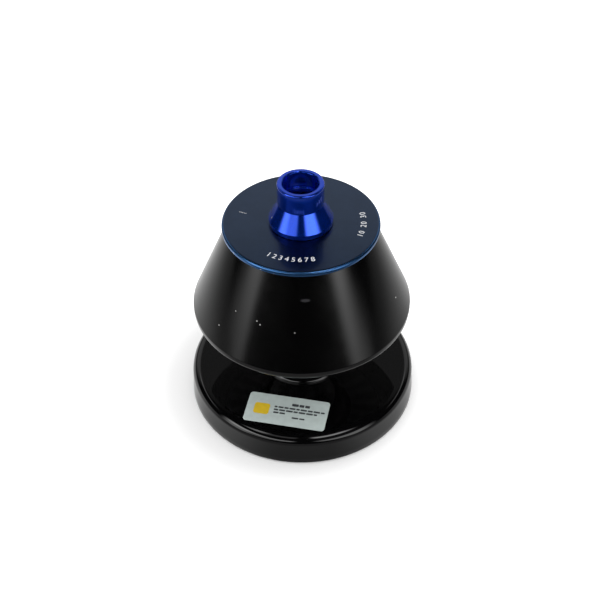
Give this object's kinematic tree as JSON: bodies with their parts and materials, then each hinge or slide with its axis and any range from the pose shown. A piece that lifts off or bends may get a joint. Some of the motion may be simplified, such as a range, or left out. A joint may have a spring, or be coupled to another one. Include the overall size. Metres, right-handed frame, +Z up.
{
  "type": "fixed angle rotor",
  "caption": "Tapered black ultracentrifuge rotor with tilted tube cavities under a blue screwed lid with hollow grip knob, on its round black stand.",
  "frame": {"origin": "on the rotor's axis, at the surface that the stand's feet rest on", "axes": "+Z up along the rotor's axis; +X through tube cavity 1; -Y towards the side with the label"},
  "size_m": [0.1404, 0.1404, 0.1569],
  "materials": {
    "stand_black": "smooth glossy black",
    "foot_rubber": "matt black rubber",
    "post_black": "turned, black anodised",
    "screw_steel": "blackened steel",
    "label_film": "silver-grey film with plain printed bars",
    "body_black": "satin black on turned titanium",
    "hub_metal": "turned titanium, bare",
    "pin_steel": "hardened ground pins",
    "ring_film": "black film with bare sectors",
    "lid_blue": "satin slate-blue anodised",
    "seal_rubber": "black nitrile rubber",
    "washer_plastic": "ivory bearing plastic",
    "knob_blue": "bright royal-blue anodised"
  },
  "bodies": {
    "stand": {"stand_base": "stand_black", "stand_foot_1": "foot_rubber", "stand_foot_2": "foot_rubber", "stand_foot_3": "foot_rubber", "stand_foot_4": "foot_rubber", "stand_post": "post_black", "post_screw": "screw_steel", "stand_label": "label_film"},
    "rotor": {"rotor_body": "body_black", "drive_hub": "hub_metal", "drive_pin_1": "pin_steel", "drive_pin_2": "pin_steel", "hub_screw_1": "screw_steel", "hub_screw_2": "screw_steel", "hub_screw_3": "screw_steel", "speed_ring": "ring_film"},
    "lid": {"lid_disc": "lid_blue", "rim_seal": "seal_rubber", "stem_seal": "seal_rubber", "thrust_washer": "washer_plastic"},
    "knob": {"knob": "knob_blue", "lid_screw": "hub_metal", "retaining_ring": "screw_steel"}
  },
  "joints": [
    {"name": "rotor_spin", "type": "hinge", "parent": "stand", "child": "rotor", "pos_m": [0, 0, 0.0575], "axis": [0, 0, 1], "continuous": true},
    {"name": "lid_lift", "type": "slide", "parent": "rotor", "child": "lid", "axis": [0, 0, 1], "range_m": [0, 0.08]},
    {"name": "knob_turn", "type": "hinge", "parent": "lid", "child": "knob", "pos_m": [0, 0, 0.13065], "axis": [0, 0, 1], "continuous": true}
  ]
}
